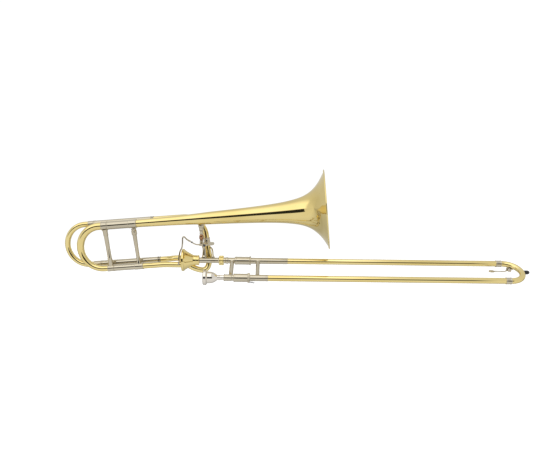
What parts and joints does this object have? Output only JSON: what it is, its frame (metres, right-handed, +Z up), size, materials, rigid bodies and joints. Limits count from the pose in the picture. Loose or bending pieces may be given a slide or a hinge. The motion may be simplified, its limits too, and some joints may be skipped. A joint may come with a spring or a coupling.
{
  "type": "tenor trombone",
  "caption": "Tenor trombone with F attachment and conical axial-flow valve: flared bell, tuning slides, thumb trigger, telescoping hand slide, water key and mouthpiece.",
  "frame": {"origin": "on the axis of the hand slide's upper leg, at the front face of the bell lock nut, inside the left hand's grip", "axes": "+X along the hand slide towards its crook, +Z up with the slide level, -Y to the player's right, where the mouthpiece is"},
  "size_m": [1.2426, 0.2149, 0.3009],
  "materials": {
    "lacquered_brass": "clear lacquer over polished brass",
    "nickel_silver": "polished nickel silver",
    "chromed_tube": "chromed and honed",
    "silver_plate": "polished silver plate",
    "copper": "polished copper",
    "spring_steel": "drawn wire",
    "cork": "natural cork",
    "black_rubber": "matt moulded rubber"
  },
  "bodies": {
    "bell_section": {"bell": "lacquered_brass", "upper_tuning_sleeve": "nickel_silver", "lower_tuning_sleeve": "nickel_silver", "gooseneck": "lacquered_brass", "body_brace": "nickel_silver", "f_upper_sleeve": "nickel_silver", "f_lower_sleeve": "nickel_silver", "f_upper_stay": "nickel_silver", "f_lower_stay": "nickel_silver", "f_front_bend": "lacquered_brass", "f_return_ferrule": "nickel_silver", "f_return_loop": "lacquered_brass", "f_outlet_tube": "lacquered_brass", "f_return_stay": "nickel_silver", "valve_casing": "lacquered_brass", "valve_back_plate": "lacquered_brass", "neckpipe": "nickel_silver", "bell_brace_post": "nickel_silver", "bell_brace_knob": "copper", "bell_brace_strut": "nickel_silver", "lever_pivot_pin": "spring_steel", "lever_spring": "spring_steel"},
    "main_tuning_slide": {"tuning_bow": "lacquered_brass", "tuning_upper_leg": "nickel_silver", "tuning_lower_leg": "nickel_silver", "tuning_brace": "nickel_silver"},
    "f_tuning_slide": {"f_bow": "lacquered_brass", "f_upper_leg": "nickel_silver", "f_lower_leg": "nickel_silver"},
    "valve_rotor": {"valve_rotor": "nickel_silver", "rotor_arm": "nickel_silver"},
    "trigger": {"thumb_lever": "nickel_silver", "thumb_paddle": "silver_plate"},
    "linkage": {"linkage_rod": "nickel_silver", "rod_adjuster": "nickel_silver"},
    "slide_section": {"slide_tenon": "nickel_silver", "upper_inner_tube": "chromed_tube", "lower_inner_tube": "chromed_tube", "upper_cork_barrel": "nickel_silver", "lower_cork_barrel": "nickel_silver", "upper_cork_ring": "cork", "lower_cork_ring": "cork", "inner_slide_brace": "nickel_silver", "mouthpiece_receiver": "nickel_silver"},
    "bell_lock": {"bell_lock_nut": "lacquered_brass"},
    "slide_lock": {"slide_lock_ring": "nickel_silver"},
    "outer_slide": {"upper_outer_tube": "lacquered_brass", "lower_outer_tube": "lacquered_brass", "upper_slide_sleeve": "nickel_silver", "lower_slide_sleeve": "nickel_silver", "outer_slide_brace": "nickel_silver", "slide_crook": "lacquered_brass", "crook_upper_ferrule": "nickel_silver", "crook_lower_ferrule": "nickel_silver", "bumper_base": "nickel_silver", "rubber_bumper": "black_rubber", "water_key_saddle": "nickel_silver"},
    "water_key": {"water_key_lever": "nickel_silver"},
    "mouthpiece": {"mouthpiece": "silver_plate"}
  },
  "joints": [
    {"name": "main_tuning", "type": "slide", "parent": "bell_section", "child": "main_tuning_slide", "axis": [-0.9919, 0.0938, -0.0854], "range_m": [0, 0.045]},
    {"name": "f_tuning", "type": "slide", "parent": "bell_section", "child": "f_tuning_slide", "axis": [-0.9919, 0.0938, -0.0854], "range_m": [0, 0.09]},
    {"name": "trigger", "type": "hinge", "parent": "bell_section", "child": "trigger", "pos_m": [-0.051, -0.017, 0.04], "axis": [0, 1, 0], "range_deg": [0, 22], "stiffness_Nm_per_rad": 0.3, "springref_deg": -20.05},
    {"name": "rod_pivot", "type": "hinge", "parent": "trigger", "child": "linkage", "pos_m": [-0.084, -0.017, 0.048], "axis": [0, 1, 0], "range_deg": [-17, 0]},
    {"name": "valve_turn", "type": "hinge", "parent": "bell_section", "child": "valve_rotor", "pos_m": [-0.095, 0, 0], "axis": [1, 0, 0], "range_deg": [-60, 0]},
    {"name": "slide_swivel", "type": "hinge", "parent": "bell_section", "child": "slide_section", "pos_m": [0, 0, 0], "axis": [1, 0, 0], "range_deg": [-20, 25]},
    {"name": "bell_lock", "type": "hinge", "parent": "slide_section", "child": "bell_lock", "pos_m": [-0.006, 0, 0], "axis": [1, 0, 0], "range_deg": [0, 720]},
    {"name": "slide_lock", "type": "hinge", "parent": "slide_section", "child": "slide_lock", "pos_m": [0.0685, -0.07006, -0.03964], "axis": [1, 0, 0], "range_deg": [0, 40]},
    {"name": "hand_slide", "type": "slide", "parent": "slide_section", "child": "outer_slide", "axis": [1, 0, 0], "range_m": [0, 0.6]},
    {"name": "water_key", "type": "hinge", "parent": "outer_slide", "child": "water_key", "pos_m": [0.75747, -0.00756, -0.01654], "axis": [0, 0.9986, 0.0532], "range_deg": [0, 12], "stiffness_Nm_per_rad": 0.05, "springref_deg": -22.92},
    {"name": "mouthpiece_pull", "type": "slide", "parent": "slide_section", "child": "mouthpiece", "axis": [-1, 0, 0], "range_m": [0, 0.04]}
  ],
  "couplings": [
    {"joint": "rod_pivot", "follows": "trigger", "ratio": -0.76},
    {"joint": "valve_turn", "follows": "trigger", "ratio": -2.727}
  ]
}
